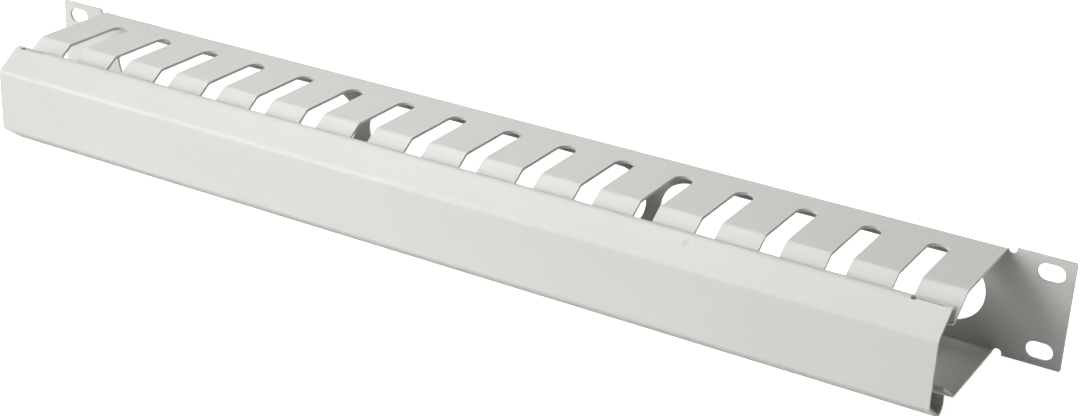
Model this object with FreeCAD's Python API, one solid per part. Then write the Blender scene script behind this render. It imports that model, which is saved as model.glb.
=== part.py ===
"""A 19-inch, 1U horizontal cable manager: a folded comb tray and its clip-on cover.

Millimetres. X runs along the rack width, -Y is the front and +Z is up. The origin is the centre
of the rack hole pattern, on the rear face of the panel, which lies against the rack posts.
"""
import FreeCAD, Part
import math
import os

# --- Rack panel and its holes ---
PANEL_WIDTH = 482.6
PANEL_HEIGHT = 44.0
EAR_WIDTH = 25.8               # how far each ear stands out past the flanges
HOLE_END_DISTANCE = 8.75       # from the end of an ear to the middle of its holes
HOLE_EDGE_DISTANCE = 6.125     # from the top or bottom of an ear to the middle of its hole there
HOLE_LENGTH = 10.5
HOLE_WIDTH = 7.0
EAR_CORNER_RADIUS = 0.8

# --- Tray: one folded sheet ---
TRAY_SHEET = 1.2
TRAY_REAR_BEND = 0.6           # inner radius where the flanges fold off the panel
TRAY_DEPTH = 55.4              # from the rear face to the finger tips
FLANGE_DROP = 0.6              # the flanges sit this far inside the height of the ears
FINGER_REACH = 12.0            # from the corner where the fingers fold in to their tips, along Y
FINGER_BEND = 2.2              # inner radius of that fold
FINGER_ANGLE = 34.5            # how far the fingers fold in, in degrees
TIP_CORNER_RADIUS = 1.2
NOTCH_WIDTH = 3.4              # relief between each flange and its ear

# --- Comb slots, open at the finger tips ---
SLOT_COUNT = 16
SLOT_WIDTH = 8.3
END_FINGER_WIDTH = 17.1        # the first and last finger of each row
SLOT_SETBACK = 12.6            # from the rear face to the round end of each slot

# --- Windows in the back panel ---
WINDOW_COUNT = 3
WINDOW_BRIDGE = 6.4            # steel between two windows
WINDOW_END_DISTANCE = 5.7      # from the end of the flanges to the first window
WINDOW_EDGE_DISTANCE = 8.8     # from the top or bottom of the panel to the windows

# --- Cover: one folded sheet, as long as the flanges ---
COVER_SHEET = 1.0
COVER_EDGE_DISTANCE = 0.5      # from the height of the panel to the outside of each bead
COVER_SLOPE_HEIGHT = 8.0       # from the outside of each bead to the corner of the flat face
COVER_FACE_BEND = 1.8          # inner radius of the bends beside the face
COVER_SLOPE = 35.7             # the slopes beside the face, from the horizontal, in degrees
BEAD_RADIUS = 3.75             # outer radius of the round bead along each long edge
LIP_LEAN = 10.0                # how far each lip leans forward, in degrees
LIP_SETBACK = 0.85             # the lips stand this far behind the finger tips
COVER_SAG = 0.5                # the cover hangs this far below the middle of the tray
LIP_CLEARANCE = 0.3            # between the edge of the top lip and the fingers under it

# --- Spring tabs lanced in the top bead, one near each end ---
TAB_END_DISTANCE = 9.0         # from the end of the cover to the middle of the tab
TAB_LENGTH = 12.3              # over the slit and the hole at its left end
TAB_SLIT = 0.5
TAB_HOLE = 2.2                 # diameter
TAB_ANGLE = 105.0              # where the slit runs round the bead, from the rear, in degrees

# --- Derived sizes ---
CUT = 1.0                      # how far a cutting tool runs past what it cuts
HALF_HEIGHT = PANEL_HEIGHT / 2
FLANGE_LENGTH = PANEL_WIDTH - 2 * EAR_WIDTH
HALF_FLANGE = FLANGE_LENGTH / 2
FLANGE_Z = HALF_HEIGHT - FLANGE_DROP
FLANGE_DEPTH = TRAY_DEPTH - FINGER_REACH
HOLE_X = PANEL_WIDTH / 2 - HOLE_END_DISTANCE
HOLE_Z = HALF_HEIGHT - HOLE_EDGE_DISTANCE
SLOT_PITCH = (FLANGE_LENGTH - 2 * END_FINGER_WIDTH - SLOT_WIDTH) / (SLOT_COUNT - 1)
WINDOW_SPAN = FLANGE_LENGTH - 2 * WINDOW_END_DISTANCE
WINDOW_PITCH = (WINDOW_SPAN + WINDOW_BRIDGE) / WINDOW_COUNT
WINDOW_LENGTH = WINDOW_PITCH - WINDOW_BRIDGE
WINDOW_HEIGHT = PANEL_HEIGHT - 2 * WINDOW_EDGE_DISTANCE
BEAD_Z = HALF_HEIGHT - COVER_EDGE_DISTANCE - BEAD_RADIUS
FACE_CORNER_Z = HALF_HEIGHT - COVER_EDGE_DISTANCE - COVER_SLOPE_HEIGHT


def vector(x, y, z):
    """Return a point."""
    return FreeCAD.Vector(x, y, z)


def along(degrees):
    """Return the unit direction in the YZ plane at an angle from +Y towards +Z."""
    angle = math.radians(degrees)
    return vector(0, math.cos(angle), math.sin(angle))


def mirrored(points):
    """Return the points mirrored in the mid-height plane, in reverse order."""
    return [vector(point.x, point.y, -point.z) for point in reversed(points)]


def rounded_path(corners, radii):
    """Return line and arc edges through the corners, with each inner corner rounded."""
    edges = []
    start = corners[0]
    for before, corner, after, radius in zip(corners, corners[1:], corners[2:], radii):
        back = (before - corner).normalize()
        ahead = (after - corner).normalize()
        half_angle = back.getAngle(ahead) / 2
        tangent = radius / math.tan(half_angle)
        middle = radius / math.sin(half_angle) - radius
        arc_start = corner + back * tangent
        arc_middle = corner + (back + ahead).normalize() * middle
        arc_end = corner + ahead * tangent
        edges.append(Part.LineSegment(start, arc_start).toShape())
        edges.append(Part.Arc(arc_start, arc_middle, arc_end).toShape())
        start = arc_end
    edges.append(Part.LineSegment(start, corners[-1]).toShape())
    return edges


def folded_sheet(skin, thickness, inner_radii):
    """Return a folded sheet as long as the flanges, from the outer skin of its section.

    The skin's corners lie in the YZ plane, and every bend turns to the left of its direction of
    travel. The sheet lies on that side, so each outer radius is the inner one plus the sheet.
    """
    runs = [(after - before).normalize() for before, after in zip(skin, skin[1:])]
    inward = [vector(0, -run.z, run.y) for run in runs]
    inner = [skin[0] + inward[0] * thickness]
    for corner, first, second in zip(skin[1:], inward, inward[1:]):
        mitre = (first + second) * (1 / (1 + first.dot(second)))
        inner.append(corner + mitre * thickness)
    inner.append(skin[-1] + inward[-1] * thickness)
    outer_radii = [radius + thickness for radius in inner_radii]
    edges = rounded_path(skin, outer_radii)
    edges.append(Part.LineSegment(skin[-1], inner[-1]).toShape())
    edges += rounded_path(inner[::-1], inner_radii[::-1])
    edges.append(Part.LineSegment(inner[0], skin[0]).toShape())
    section = Part.Face(Part.Wire(edges))
    section.translate(vector(-HALF_FLANGE, 0, 0))
    return section.extrude(vector(FLANGE_LENGTH, 0, 0))


def oblong(length, width, depth):
    """Return a round-ended cutting tool about the origin, long along X and cutting along Z."""
    straight = (length - width) / 2
    half = width / 2
    outline = [
        Part.LineSegment(vector(-straight, half, 0), vector(straight, half, 0)),
        Part.Arc(vector(straight, half, 0), vector(straight + half, 0, 0), vector(straight, -half, 0)),
        Part.LineSegment(vector(straight, -half, 0), vector(-straight, -half, 0)),
        Part.Arc(vector(-straight, -half, 0), vector(-straight - half, 0, 0), vector(-straight, half, 0)),
    ]
    face = Part.Face(Part.Wire([curve.toShape() for curve in outline]))
    face.translate(vector(0, 0, -depth / 2))
    return face.extrude(vector(0, 0, depth))


def through_panel(length, width, x, z):
    """Return an oblong tool that cuts the panel from front to back at x, z."""
    tool = oblong(length, width, TRAY_SHEET + 2 * CUT)
    tool.rotate(vector(0, 0, 0), vector(1, 0, 0), 90)
    tool.translate(vector(x, -TRAY_SHEET / 2, z))
    return tool


def box(low, high):
    """Return the box between two opposite corners."""
    size = high - low
    return Part.makeBox(size.x, size.y, size.z, low)


def tray_skin():
    """Return the corners of the tray's outer skin, from the bottom finger tips to the top ones."""
    rise = (TRAY_DEPTH - FLANGE_DEPTH) * math.tan(math.radians(FINGER_ANGLE))
    bottom = [
        vector(0, -TRAY_DEPTH, rise - FLANGE_Z),
        vector(0, -FLANGE_DEPTH, -FLANGE_Z),
        vector(0, 0, -FLANGE_Z),
    ]
    return bottom + mirrored(bottom)


def ear(side):
    """Return one rack ear, with a relief notch beside each flange. side is -1 or 1."""
    bend_start = FLANGE_Z - TRAY_REAR_BEND - TRAY_SHEET
    near, far = sorted([side * HALF_FLANGE, side * PANEL_WIDTH / 2])
    plate = box(vector(near, -TRAY_SHEET, -HALF_HEIGHT), vector(far, 0, HALF_HEIGHT))
    edge_x = side * PANEL_WIDTH / 2
    corners = [
        edge for edge in plate.Edges
        if edge.BoundBox.YLength > TRAY_SHEET / 2 and abs(edge.CenterOfMass.x - edge_x) < TRAY_SHEET
    ]
    plate = plate.makeFillet(EAR_CORNER_RADIUS, corners)
    notch_x = side * (HALF_FLANGE + NOTCH_WIDTH / 2)
    notch_length = 2 * (HALF_HEIGHT - bend_start)
    for end in (-1, 1):
        notch = through_panel(notch_length + NOTCH_WIDTH, NOTCH_WIDTH, 0, 0)
        notch.rotate(vector(0, 0, 0), vector(0, 1, 0), 90)
        notch_z = end * (bend_start + (notch_length + NOTCH_WIDTH) / 2)
        notch.translate(vector(notch_x, 0, notch_z))
        plate = plate.cut(notch)
    return plate


def panel_tools():
    """Return the tools for the rack holes and the windows."""
    holes = [
        through_panel(HOLE_LENGTH, HOLE_WIDTH, x * HOLE_X, z * HOLE_Z)
        for x in (-1, 1) for z in (-1, 1)
    ]
    first = -WINDOW_PITCH * (WINDOW_COUNT - 1) / 2
    windows = [
        through_panel(WINDOW_LENGTH, WINDOW_HEIGHT, first + WINDOW_PITCH * index, 0)
        for index in range(WINDOW_COUNT)
    ]
    return holes + windows


def slot_tools():
    """Return the tools for the comb slots, each of which cuts both flanges."""
    length = TRAY_DEPTH - SLOT_SETBACK + SLOT_WIDTH
    first = -SLOT_PITCH * (SLOT_COUNT - 1) / 2
    tools = []
    for index in range(SLOT_COUNT):
        tool = oblong(length, SLOT_WIDTH, PANEL_HEIGHT)
        tool.rotate(vector(0, 0, 0), vector(0, 0, 1), 90)
        tool.translate(vector(first + SLOT_PITCH * index, -SLOT_SETBACK - length / 2, 0))
        tools.append(tool)
    return tools


def is_tip_corner(edge):
    """Tell whether an edge is a corner of a finger tip, square across the sheet."""
    bounds = edge.BoundBox
    at_tip = abs(bounds.YMin + TRAY_DEPTH) < TRAY_SHEET / 4
    across_sheet = bounds.XLength < TRAY_SHEET / 4 and edge.Length < TRAY_SHEET * 1.1
    return at_tip and across_sheet


def make_tray():
    """Return the tray: panel, ears and two comb flanges in one folded sheet."""
    radii = [FINGER_BEND, TRAY_REAR_BEND, TRAY_REAR_BEND, FINGER_BEND]
    tray = folded_sheet(tray_skin(), TRAY_SHEET, radii)
    tray = tray.fuse([ear(-1), ear(1)]).removeSplitter()
    tray = tray.cut(panel_tools() + slot_tools())
    corners = [edge for edge in tray.Edges if is_tip_corner(edge)]
    return tray.makeFillet(TIP_CORNER_RADIUS, corners)


def lip_edge():
    """Return the rear corner of the top lip's edge, just over the finger tips."""
    reach = TRAY_DEPTH - LIP_SETBACK
    slope = math.radians(FINGER_ANGLE)
    finger_z = FLANGE_Z - (reach - FLANGE_DEPTH) * math.tan(slope)
    return vector(0, -reach, finger_z + LIP_CLEARANCE / math.cos(slope) + COVER_SAG)


def bead_centre():
    """Return the centre of the top bead, which runs smoothly into the leaning lip."""
    lip = lip_edge()
    to_lip = along(-LIP_LEAN) * BEAD_RADIUS
    lean_back = (BEAD_Z + to_lip.z - lip.z) * math.tan(math.radians(LIP_LEAN))
    return vector(0, lip.y + lean_back - to_lip.y, BEAD_Z)


def cover_skin():
    """Return the corners of the cover's outer skin, from the top lip to the bottom one."""
    centre = bead_centre()
    bead_turn = math.radians(90 + COVER_SLOPE + LIP_LEAN)
    corner_reach = BEAD_RADIUS * math.tan(bead_turn / 2)
    bead_corner = centre + along(-LIP_LEAN) * BEAD_RADIUS + along(90 - LIP_LEAN) * corner_reach
    slope_start = centre + along(90 + COVER_SLOPE) * BEAD_RADIUS
    down_slope = along(180 + COVER_SLOPE)
    face_corner = slope_start - down_slope * ((slope_start.z - FACE_CORNER_Z) / down_slope.z)
    top = [lip_edge(), bead_corner, face_corner]
    return top + mirrored(top)


def spring_tab(side):
    """Return the tool that lances one spring tab in the top bead. side is -1 or 1."""
    left_x = side * (HALF_FLANGE - TAB_END_DISTANCE) - TAB_LENGTH / 2
    inside = BEAD_RADIUS - COVER_SHEET - CUT
    depth = COVER_SHEET + 2 * CUT
    slit_length = TAB_LENGTH - TAB_HOLE / 2
    slit = Part.makeBox(slit_length, depth, TAB_SLIT, vector(TAB_HOLE / 2, inside, -TAB_SLIT / 2))
    hole = Part.makeCylinder(TAB_HOLE / 2, depth, vector(TAB_HOLE / 2, inside, 0), vector(0, 1, 0))
    tool = slit.fuse(hole)
    tool.rotate(vector(0, 0, 0), vector(1, 0, 0), TAB_ANGLE)
    tool.translate(bead_centre() + vector(left_x, 0, 0))
    return tool


def make_cover():
    """Return the cover: face, slopes, beads and lips in one folded sheet."""
    bead_bend = BEAD_RADIUS - COVER_SHEET
    radii = [bead_bend, COVER_FACE_BEND, COVER_FACE_BEND, bead_bend]
    cover = folded_sheet(cover_skin(), COVER_SHEET, radii)
    cover = cover.cut([spring_tab(-1), spring_tab(1)])
    cover.translate(vector(0, 0, -COVER_SAG))
    return cover


def main():
    """Build each piece and write one STEP file for it."""
    os.makedirs("parts", exist_ok=True)
    pieces = {"tray": make_tray(), "cover": make_cover()}
    for name, shape in pieces.items():
        bounds = shape.BoundBox
        print(f"{name}: {len(shape.Solids)} solid, valid {shape.isValid()}, {shape.Volume / 1000:.2f} cm3")
        print(f"  X {bounds.XMin:.2f} {bounds.XMax:.2f}  Y {bounds.YMin:.2f} {bounds.YMax:.2f}"
              f"  Z {bounds.ZMin:.2f} {bounds.ZMax:.2f}")
        shape.exportStep(f"parts/{name}.step")


main()
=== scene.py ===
"""Dresses and lights a one-unit horizontal cable manager for a 19-inch rack.

The manager is a folded comb tray with rack ears and a folded cover that clips over its finger
tips. Both keep their own solids and get a light warm-grey powder coat, each with its own handling
mark; the tray's coat is set a little lighter than the cover's, as painted light on its flanges and
fingers. Everything is in metres: X runs along the rack width, -Y is the front and +Z is up.
"""
import logging
import math
from dataclasses import dataclass
from enum import Enum

import bpy
from mathutils import Matrix, Vector


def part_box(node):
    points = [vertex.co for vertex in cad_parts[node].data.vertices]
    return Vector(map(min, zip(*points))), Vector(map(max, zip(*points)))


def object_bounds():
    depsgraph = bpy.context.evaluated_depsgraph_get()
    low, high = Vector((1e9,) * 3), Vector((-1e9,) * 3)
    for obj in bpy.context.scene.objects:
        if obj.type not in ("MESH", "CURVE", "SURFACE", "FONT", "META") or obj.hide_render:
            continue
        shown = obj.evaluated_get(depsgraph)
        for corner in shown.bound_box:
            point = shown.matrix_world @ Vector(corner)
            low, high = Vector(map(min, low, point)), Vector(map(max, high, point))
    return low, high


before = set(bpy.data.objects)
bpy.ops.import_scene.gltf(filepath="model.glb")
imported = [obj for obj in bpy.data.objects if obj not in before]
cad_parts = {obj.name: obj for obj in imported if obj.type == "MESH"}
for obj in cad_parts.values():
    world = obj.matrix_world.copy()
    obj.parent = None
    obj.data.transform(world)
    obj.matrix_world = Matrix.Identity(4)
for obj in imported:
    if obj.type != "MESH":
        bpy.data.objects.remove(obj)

CAD_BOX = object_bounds()
LOG = logging.getLogger("cable_manager")
MM = 0.001
WHITE = (1.0, 1.0, 1.0)

Colour = tuple[float, float, float]
Socket = bpy.types.NodeSocket
Given = Socket | Vector | Colour | float


class Body(Enum):
    """The rigid bodies that a piece can belong to."""

    TRAY = "tray"
    COVER = "cover"


# --- Shader wiring ----------------------------------------------------------------------------


class Kind(Enum):
    """What a socket of a node group carries."""

    NUMBER = "NodeSocketFloat"
    POINT = "NodeSocketVector"


class Operation(Enum):
    """The sums that the shaders need."""

    ADD = "ADD"
    MULTIPLY = "MULTIPLY"
    DIVIDE = "DIVIDE"


class Slope(Enum):
    """How a ramp runs from its start to its end."""

    STRAIGHT = "LINEAR"
    SOFT = "SMOOTHSTEP"


@dataclass(frozen=True)
class Octaves:
    """The finer parts of a noise.

    Args:
        detail: how many finer octaves it has.
        roughness: how strong those octaves are.
    """

    detail: float
    roughness: float


@dataclass(frozen=True)
class Wiring:
    """Adds nodes to a shader tree and links them.

    Args:
        tree: the tree that it works on.
    """

    tree: bpy.types.NodeTree

    def feed(self, slot: Socket, value: Given) -> None:
        """Links an input to the output that gives its value, or sets it.

        Args:
            slot: the input.
            value: an output, or the value itself; a colour is red, green and blue.
        """
        if isinstance(value, Socket):
            self.tree.links.new(value, slot)
        elif slot.type == "RGBA":
            slot.default_value = (*value, 1.0)
        else:
            slot.default_value = value

    def place(self, group: bpy.types.ShaderNodeTree, values: dict[str, Given]) -> bpy.types.Node:
        """Places a shared group.

        Args:
            group: the shared group.
            values: what each of its inputs gets, by name.

        Returns:
            The placed group's node.
        """
        node = self.tree.nodes.new("ShaderNodeGroup")
        node.node_tree = group
        for name, value in values.items():
            self.feed(node.inputs[name], value)
        return node

    def calculate(self, operation: Operation, first: Given, second: Given) -> Socket:
        """Adds one sum.

        Args:
            operation: what is done with the two values.
            first: an output or a number.
            second: an output or a number.

        Returns:
            The result.
        """
        node = self.tree.nodes.new("ShaderNodeMath")
        node.operation = operation.value
        for slot, value in zip(node.inputs, (first, second)):
            self.feed(slot, value)
        return node.outputs["Value"]

    def distance(self, first: Given, second: Given) -> Socket:
        """Measures how far two points are apart.

        Args:
            first: an output or a point.
            second: an output or a point.

        Returns:
            The distance.
        """
        node = self.tree.nodes.new("ShaderNodeVectorMath")
        node.operation = "DISTANCE"
        for slot, value in zip(node.inputs, (first, second)):
            self.feed(slot, value)
        return node.outputs["Value"]

    def noise(self, where: Socket, size: Given, octaves: Octaves) -> Socket:
        """Adds a noise whose features are about one size across.

        Args:
            where: the output that gives the point on the object.
            size: the size of a feature in metres, as an output or a number.
            octaves: its finer parts.

        Returns:
            The noise's value, from 0 to 1.
        """
        node = self.tree.nodes.new("ShaderNodeTexNoise")
        self.feed(node.inputs["Vector"], where)
        self.feed(node.inputs["Scale"], self.calculate(Operation.DIVIDE, 1.0, size))
        self.feed(node.inputs["Detail"], octaves.detail)
        self.feed(node.inputs["Roughness"], octaves.roughness)
        return node.outputs["Fac"]

    def ramp(self, value: Socket, low: float, high: float, start: Given = 0.0, end: Given = 1.0,
             slope: Slope = Slope.STRAIGHT) -> Socket:
        """Turns one stretch of a value into another.

        Args:
            value: the output whose value is turned.
            low: where its stretch begins.
            high: where its stretch stops.
            start: what it becomes up to the low end, as an output or a number.
            end: what it becomes from the high end on, as an output or a number.
            slope: how it runs between them.

        Returns:
            The new value.
        """
        node = self.tree.nodes.new("ShaderNodeMapRange")
        node.interpolation_type = slope.value
        names = ("Value", "From Min", "From Max", "To Min", "To Max")
        for name, given in zip(names, (value, low, high, start, end)):
            self.feed(node.inputs[name], given)
        return node.outputs["Result"]

    def mix(self, factor: Socket, first: Given, second: Given) -> Socket:
        """Mixes two colours.

        Args:
            factor: how much of the second colour shows.
            first: an output or a colour.
            second: an output or a colour.

        Returns:
            The mixed colour.
        """
        node = self.tree.nodes.new("ShaderNodeMix")
        node.data_type = "RGBA"
        self.feed(node.inputs["Factor"], factor)
        colours = [slot for slot in node.inputs if slot.type == "RGBA"]
        for slot, value in zip(colours, (first, second)):
            self.feed(slot, value)
        return next(slot for slot in node.outputs if slot.type == "RGBA")

    def show_apart(self, lit: Socket, shown: Socket, surface: Socket) -> None:
        """Lights the scene with one shader and shows another to the camera.

        Args:
            lit: the shader that lights the scene.
            shown: the shader that the camera sees.
            surface: the input that the pair goes into.
        """
        path = self.tree.nodes.new("ShaderNodeLightPath")
        pick = self.tree.nodes.new("ShaderNodeMixShader")
        for slot, value in zip(pick.inputs, (path.outputs["Is Camera Ray"], lit, shown)):
            self.feed(slot, value)
        self.feed(surface, pick.outputs["Shader"])


# --- Finishes ---------------------------------------------------------------------------------


class EffectGroup:
    """A shader node group that the materials share, each with its own values."""

    NAME: str
    INPUTS: dict[str, Kind]
    OUTPUTS: tuple[str, ...]

    def __init__(self) -> None:
        """Starts the group with its sockets and the place of each point on the object."""
        self.tree = bpy.data.node_groups.new(self.NAME, "ShaderNodeTree")
        for name, kind in self.INPUTS.items():
            self.tree.interface.new_socket(name, in_out="INPUT", socket_type=kind.value)
        for name in self.OUTPUTS:
            self.tree.interface.new_socket(name, in_out="OUTPUT", socket_type=Kind.NUMBER.value)
        self.wiring = Wiring(self.tree)
        self.given = self.tree.nodes.new("NodeGroupInput").outputs
        self.where = self.tree.nodes.new("ShaderNodeTexCoord").outputs["Object"]

    def wire(self) -> tuple[Socket, ...]:
        """Wires the effect; each kind of group has its own.

        Returns:
            The values of the outputs, in the order of OUTPUTS.
        """
        raise NotImplementedError

    def build(self) -> bpy.types.ShaderNodeTree:
        """Wires the effect through to the group's outputs.

        Returns:
            The finished group.
        """
        sink = self.tree.nodes.new("NodeGroupOutput")
        for name, value in zip(self.OUTPUTS, self.wire()):
            self.wiring.feed(sink.inputs[name], value)
        return self.tree


class CoatEffects(EffectGroup):
    """The surface of every powder-coated sheet: orange peel, clouding, specks and gloss."""

    NAME = "powder_coat_effects"
    INPUTS = {
        "Peel Size": Kind.NUMBER,
        "Grain Size": Kind.NUMBER,
        "Cloud Size": Kind.NUMBER,
        "Speck Amount": Kind.NUMBER,
    }
    OUTPUTS = ("Height", "Cloud", "Speck", "Gloss")
    PEEL = Octaves(detail=1.0, roughness=0.4)
    GRAIN = Octaves(detail=2.0, roughness=0.6)
    CLOUD = Octaves(detail=3.0, roughness=0.55)
    # The stretch of the clouds' noise from a clean coat to a thinner one.
    CLOUD_STRETCH = (0.3, 0.7)
    # The stretch of the grain's noise from no speck to a full one.
    SPECK_STRETCH = (0.66, 0.74)
    # How high the grain stands against the orange peel.
    GRAIN_HEIGHT = 0.25
    # What the clouds and the orange peel each add to the gloss.
    CLOUD_GLOSS = 0.6
    PEEL_GLOSS = 0.4

    def wire(self) -> tuple[Socket, ...]:
        """Wires the orange peel, clouding, specks and gloss.

        Returns:
            The height, cloud, speck and gloss values.
        """
        peel = self.wiring.noise(self.where, self.given["Peel Size"], self.PEEL)
        grain = self.wiring.noise(self.where, self.given["Grain Size"], self.GRAIN)
        cloud = self.wiring.noise(self.where, self.given["Cloud Size"], self.CLOUD)
        cloud = self.wiring.ramp(cloud, *self.CLOUD_STRETCH)
        speck = self.wiring.ramp(grain, *self.SPECK_STRETCH)
        speck = self.wiring.calculate(Operation.MULTIPLY, speck, self.given["Speck Amount"])
        grain_height = self.wiring.calculate(Operation.MULTIPLY, grain, self.GRAIN_HEIGHT)
        height = self.wiring.calculate(Operation.ADD, peel, grain_height)
        cloud_gloss = self.wiring.calculate(Operation.MULTIPLY, cloud, self.CLOUD_GLOSS)
        peel_gloss = self.wiring.calculate(Operation.MULTIPLY, peel, self.PEEL_GLOSS)
        gloss = self.wiring.calculate(Operation.ADD, cloud_gloss, peel_gloss)
        return height, cloud, speck, gloss


class MarkEffect(EffectGroup):
    """One small handling mark: a soft, slightly ragged spot about a point."""

    NAME = "coat_mark"
    INPUTS = {"Centre": Kind.POINT, "Radius": Kind.NUMBER, "Strength": Kind.NUMBER}
    OUTPUTS = ("Mask",)
    RAG_SIZE = 1.1 * MM
    RAG = Octaves(detail=2.0, roughness=0.5)
    # Where the spot begins to fade and where it is gone, in shares of its ragged radius.
    FADE = (0.6, 2.4)

    def wire(self) -> tuple[Socket, ...]:
        """Wires the spot.

        Returns:
            The mask of the mark.
        """
        away = self.wiring.distance(self.where, self.given["Centre"])
        rag = self.wiring.noise(self.where, self.RAG_SIZE, self.RAG)
        reach = self.wiring.calculate(Operation.MULTIPLY, self.given["Radius"], rag)
        share = self.wiring.calculate(Operation.DIVIDE, away, reach)
        mask = self.wiring.ramp(share, *self.FADE, self.given["Strength"], end=0.0, slope=Slope.SOFT)
        return (mask,)


@dataclass(frozen=True)
class Mark:
    """A small mark left on the coat by handling.

    Args:
        inset: how far it is from the right, rear and top of its sheet's box, in metres.
        radius: half its width, in metres.
        strength: how much of the dark shows in its middle, from 0 to 1.
    """

    inset: tuple[float, float, float]
    radius: float
    strength: float


@dataclass(frozen=True)
class CoatGroups:
    """The shader node groups shared by the coated sheets.

    Args:
        surface: the orange peel, clouding, specks and gloss.
        mark: one handling mark.
    """

    surface: bpy.types.ShaderNodeTree
    mark: bpy.types.ShaderNodeTree


@dataclass(frozen=True)
class PowderCoat:
    """A light grey powder coat, baked on steel sheet.

    Args:
        name: the material's name.
        colour: linear red, green and blue of the clean coat.
        clouded: the same where the coat is a little thinner.
        marks: the handling marks on it.
        roughness: lowest and highest roughness.
        peel_size: width of an orange-peel dimple, in metres.
        peel_depth: depth of those dimples, in metres.
        grain_size: width of the finest grain, in metres.
        cloud_size: width of a thinner patch, in metres.
        speck_amount: how strongly the finest specks show.
        dark_share: how bright the dark of specks and marks is beside the clouded coat.
        edge_radius: how far the coat rounds off a sheared edge, in metres.
        edge_samples: how finely that rounding is worked out.
    """

    name: str
    colour: Colour
    clouded: Colour
    marks: tuple[Mark, ...]
    roughness: tuple[float, float] = (0.50, 0.58)
    peel_size: float = 1.4 * MM
    peel_depth: float = 0.012 * MM
    grain_size: float = 0.35 * MM
    cloud_size: float = 60.0 * MM
    speck_amount: float = 0.05
    dark_share: float = 0.45
    edge_radius: float = 0.12 * MM
    edge_samples: int = 6

    def relief(self, wiring: Wiring, height: Socket) -> Socket:
        """Rounds off the sheared edges and raises the orange peel.

        Args:
            wiring: the wiring of the material.
            height: the output that gives the coat's height, in shares of the peel's depth.

        Returns:
            The normal of the coat.
        """
        rounded = wiring.tree.nodes.new("ShaderNodeBevel")
        rounded.samples = self.edge_samples
        wiring.feed(rounded.inputs["Radius"], self.edge_radius)
        bump = wiring.tree.nodes.new("ShaderNodeBump")
        wiring.feed(bump.inputs["Distance"], self.peel_depth)
        wiring.feed(bump.inputs["Height"], height)
        wiring.feed(bump.inputs["Normal"], rounded.outputs["Normal"])
        return bump.outputs["Normal"]

    def material(self, groups: CoatGroups, corner: Vector) -> bpy.types.Material:
        """Makes the material.

        Args:
            groups: the node groups shared by the coated sheets.
            corner: the right, rear and top corner of the sheet's box.

        Returns:
            The material.
        """
        made = bpy.data.materials.new(self.name)
        made.use_nodes = True
        wiring = Wiring(made.node_tree)
        surface = wiring.place(groups.surface, {
            "Peel Size": self.peel_size,
            "Grain Size": self.grain_size,
            "Cloud Size": self.cloud_size,
            "Speck Amount": self.speck_amount,
        }).outputs
        dark = tuple(self.dark_share * part for part in self.clouded)
        coat = wiring.mix(surface["Cloud"], self.colour, self.clouded)
        coat = wiring.mix(surface["Speck"], coat, dark)
        for mark in self.marks:
            spot = wiring.place(groups.mark, {
                "Centre": corner - Vector(mark.inset),
                "Radius": mark.radius,
                "Strength": mark.strength,
            })
            coat = wiring.mix(spot.outputs["Mask"], coat, dark)
        shader = made.node_tree.nodes["Principled BSDF"].inputs
        wiring.feed(shader["Base Color"], coat)
        wiring.feed(shader["Roughness"], wiring.ramp(surface["Gloss"], 0.0, 1.0, *self.roughness))
        wiring.feed(shader["Normal"], self.relief(wiring, surface["Height"]))
        return made


# --- Sub-assemblies ---------------------------------------------------------------------------


@dataclass
class FoldedSheet:
    """A piece cut and folded from one steel sheet, whose own solid is kept.

    Args:
        node: the name of its solid.
        body: the rigid body it belongs to.
        finish: its powder coat.
        smooth_angle: bends below this turn per facet are shaded smooth, in degrees.
    """

    node: str
    body: Body
    finish: PowderCoat
    smooth_angle: float = 24.0

    def smooth(self, mesh: bpy.types.Mesh) -> None:
        """Shades the bends smooth and keeps the sheared edges crisp.

        Args:
            mesh: the mesh of its solid.
        """
        mesh.shade_smooth()
        mesh.set_sharp_from_angle(angle=math.radians(self.smooth_angle))

    def coat(self, mesh: bpy.types.Mesh, groups: CoatGroups) -> None:
        """Puts the powder coat on every face.

        Args:
            mesh: the mesh of its solid.
            groups: the node groups shared by the coated sheets.
        """
        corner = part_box(self.node)[1]
        mesh.materials.clear()
        mesh.materials.append(self.finish.material(groups, corner))

    def build(self, groups: CoatGroups) -> bpy.types.Object:
        """Dresses the piece.

        Args:
            groups: the node groups shared by the coated sheets.

        Returns:
            The dressed piece.
        """
        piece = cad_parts[self.node]
        self.smooth(piece.data)
        self.coat(piece.data, groups)
        return piece


@dataclass
class CombTray(FoldedSheet):
    """The tray: back panel with windows, rack ears and two flanges of comb fingers."""

    node: str = "tray"
    body: Body = Body.TRAY
    # The tray's colours are set a little lighter than the cover's: painted light that brightens the
    # flanges and fingers, which the cover's bead partly shades.
    finish: PowderCoat = PowderCoat(
        "tray_coat", colour=(0.512, 0.504, 0.483), clouded=(0.498, 0.490, 0.469),
        marks=(Mark(inset=(28.7 * MM, 10.6 * MM, 0.6 * MM), radius=0.6 * MM, strength=0.5),))


@dataclass
class ClipCover(FoldedSheet):
    """The cover: flat face, two slopes, and a rounded bead and lip along each long edge."""

    node: str = "cover"
    body: Body = Body.COVER
    finish: PowderCoat = PowderCoat(
        "cover_coat", colour=(0.468, 0.466, 0.444), clouded=(0.455, 0.453, 0.431),
        marks=(Mark(inset=(100.6 * MM, 8.05 * MM, 2.2 * MM), radius=1.6 * MM, strength=0.32),))


# --- Studio -----------------------------------------------------------------------------------


def direction(azimuth: float, elevation: float) -> Vector:
    """Gives the unit vector from the object towards a viewpoint.

    Args:
        azimuth: degrees round the object; 0 is straight in front and 90 is at its right.
        elevation: degrees above the horizon.

    Returns:
        The unit vector.
    """
    turn = math.radians(azimuth)
    lift = math.radians(elevation)
    return Vector((math.sin(turn) * math.cos(lift), -math.cos(turn) * math.cos(lift), math.sin(lift)))


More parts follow.
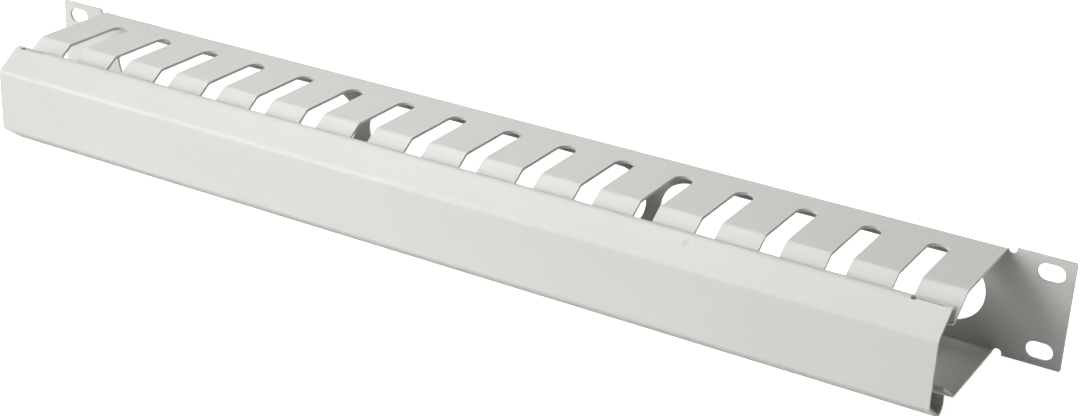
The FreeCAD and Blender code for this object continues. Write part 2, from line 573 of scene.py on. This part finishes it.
@dataclass(frozen=True)
class SoftLight:
    """A square soft box that looks at the object.

    Args:
        name: the light's name.
        azimuth: where it stands round the object, in degrees, as a camera's.
        elevation: how high it stands above the horizon, in degrees.
        distance: how far off it stands, in metres.
        size: its side, in metres.
        power: in watts.
        shift: how far it and its aim are moved along the object's width, in metres.
        spread: how wide its grid lets the light fan out, in degrees.
    """

    name: str
    azimuth: float
    elevation: float
    distance: float
    size: float
    power: float
    shift: float = 0.0
    spread: float = 180.0

    def build(self, middle: Vector) -> bpy.types.Object:
        """Places the light.

        Args:
            middle: the middle of the object.

        Returns:
            The light.
        """
        lamp = bpy.data.lights.new(self.name, "AREA")
        lamp.size = self.size
        lamp.energy = self.power
        lamp.spread = math.radians(self.spread)
        made = bpy.data.objects.new(self.name, lamp)
        bpy.context.scene.collection.objects.link(made)
        back = direction(self.azimuth, self.elevation)
        made.location = middle + Vector((self.shift, 0.0, 0.0)) + back * self.distance
        made.rotation_euler = (-back).to_track_quat("-Z", "Y").to_euler()
        return made


@dataclass(frozen=True)
class Studio:
    """A pale floor and a white surround under soft light.

    Args:
        floor_size: side of the floor, in metres.
        floor_colour: linear red, green and blue of the floor.
        floor_roughness: how matt the floor is.
        floor_specular: how strongly the floor mirrors.
        floor_glow: how much light the floor gives off, which reaches the undersides.
        floor_show: how bright the floor looks by itself, so that its shadows stay faint.
        surround_glow: how much light comes from all round.
        surround_show: how bright the surround looks.
        lights: the soft boxes.
    """

    floor_size: float = 12.0
    floor_colour: Colour = (0.74, 0.74, 0.74)
    floor_roughness: float = 0.8
    floor_specular: float = 0.2
    floor_glow: float = 0.20
    floor_show: float = 0.85
    surround_glow: float = 0.02
    surround_show: float = 1.0
    lights: tuple[SoftLight, ...] = (
        SoftLight("key_light", azimuth=-30.0, elevation=24.0, distance=2.1, size=0.8, power=2.1,
                  shift=0.16, spread=45.0),
        SoftLight("low_light", azimuth=-50.0, elevation=6.0, distance=1.8, size=0.9, power=24.5,
                  shift=0.05),
        SoftLight("top_light", azimuth=0.0, elevation=88.0, distance=0.7, size=0.5, power=4.9,
                  shift=-0.12),
        SoftLight("left_rear_fill", azimuth=-120.0, elevation=35.0, distance=1.6, size=1.2, power=0.7),
        SoftLight("right_fill", azimuth=98.0, elevation=24.0, distance=1.8, size=0.8, power=6.0),
        SoftLight("rear_fill", azimuth=165.0, elevation=12.0, distance=1.8, size=0.7, power=5.5),
    )

    def floor(self) -> bpy.types.Object:
        """Lays the floor under the lowest point of the object.

        Returns:
            The floor.
        """
        half = self.floor_size / 2
        low = CAD_BOX[0].z
        corners = [(-half, -half, low), (half, -half, low), (half, half, low), (-half, half, low)]
        mesh = bpy.data.meshes.new("studio_floor")
        mesh.from_pydata(corners, [], [(0, 1, 2, 3)])
        mesh.materials.append(self.floor_finish())
        floor = bpy.data.objects.new("studio_floor", mesh)
        bpy.context.scene.collection.objects.link(floor)
        return floor

    def floor_finish(self) -> bpy.types.Material:
        """Makes the floor's matt white, which looks brighter than the light it gives off.

        Returns:
            The material.
        """
        made = bpy.data.materials.new("studio_floor")
        made.use_nodes = True
        nodes = made.node_tree.nodes
        wiring = Wiring(made.node_tree)
        lit = nodes["Principled BSDF"]
        shown = nodes.new("ShaderNodeBsdfPrincipled")
        for shader, glow in ((lit, self.floor_glow), (shown, self.floor_show)):
            wiring.feed(shader.inputs["Base Color"], self.floor_colour)
            wiring.feed(shader.inputs["Roughness"], self.floor_roughness)
            wiring.feed(shader.inputs["Specular IOR Level"], self.floor_specular)
            wiring.feed(shader.inputs["Emission Color"], WHITE)
            wiring.feed(shader.inputs["Emission Strength"], glow)
        surface = nodes["Material Output"].inputs["Surface"]
        wiring.show_apart(lit.outputs["BSDF"], shown.outputs["BSDF"], surface)
        return made

    def surround(self) -> bpy.types.World:
        """Surrounds the scene with white that lights it more gently than it shows.

        Returns:
            The world.
        """
        world = bpy.data.worlds.new("studio_surround")
        world.use_nodes = True
        nodes = world.node_tree.nodes
        wiring = Wiring(world.node_tree)
        lit = nodes["Background"]
        shown = nodes.new("ShaderNodeBackground")
        for shader, strength in ((lit, self.surround_glow), (shown, self.surround_show)):
            wiring.feed(shader.inputs["Color"], WHITE)
            wiring.feed(shader.inputs["Strength"], strength)
        surface = nodes["World Output"].inputs["Surface"]
        wiring.show_apart(lit.outputs["Background"], shown.outputs["Background"], surface)
        return world

    def build(self) -> None:
        """Sets up the floor, the surround, the lights and plain colour handling."""
        self.floor()
        bpy.context.scene.world = self.surround()
        middle = (CAD_BOX[0] + CAD_BOX[1]) / 2
        for light in self.lights:
            light.build(middle)
        bpy.context.scene.view_settings.view_transform = "Standard"


@dataclass(frozen=True)
class Viewpoint:
    """The camera: in front, to the right and above.

    Args:
        position: in metres.
        azimuth: degrees round the object that it looks from.
        elevation: degrees above the horizon that it looks down from.
        roll: degrees that it leans to its left.
        lens: focal length, in millimetres.
        sensor: width of the sensor, in millimetres.
        reach: the nearest and farthest that it sees, in metres.
    """

    position: tuple[float, float, float] = (0.3926, -0.6576, 0.3244)
    azimuth: float = 29.64
    elevation: float = 24.207
    roll: float = 2.68
    lens: float = 66.42
    sensor: float = 36.0
    reach: tuple[float, float] = (0.01, 30.0)

    def build(self) -> bpy.types.Object:
        """Places the camera and makes it the scene's.

        Returns:
            The camera.
        """
        data = bpy.data.cameras.new("camera")
        data.lens = self.lens
        data.sensor_width = self.sensor
        data.clip_start, data.clip_end = self.reach
        camera = bpy.data.objects.new("camera", data)
        bpy.context.scene.collection.objects.link(camera)
        turn = Matrix.Rotation(math.radians(self.azimuth), 4, "Z")
        tilt = Matrix.Rotation(math.radians(90.0 - self.elevation), 4, "X")
        lean = Matrix.Rotation(math.radians(self.roll), 4, "Z")
        camera.matrix_world = Matrix.Translation(self.position) @ turn @ tilt @ lean
        bpy.context.scene.camera = camera
        return camera


def main() -> None:
    """Builds the camera, the two sheets and the studio, and reports each piece."""
    logging.basicConfig(level=logging.INFO, format="%(message)s")
    Viewpoint().build()
    groups = CoatGroups(CoatEffects().build(), MarkEffect().build())
    for sheet in (CombTray(), ClipCover()):
        piece = sheet.build(groups)
        LOG.info("%s: %d faces, on body %s", piece.name, len(piece.data.polygons), sheet.body.value)
    Studio().build()


if __name__ == "__main__":
    main()
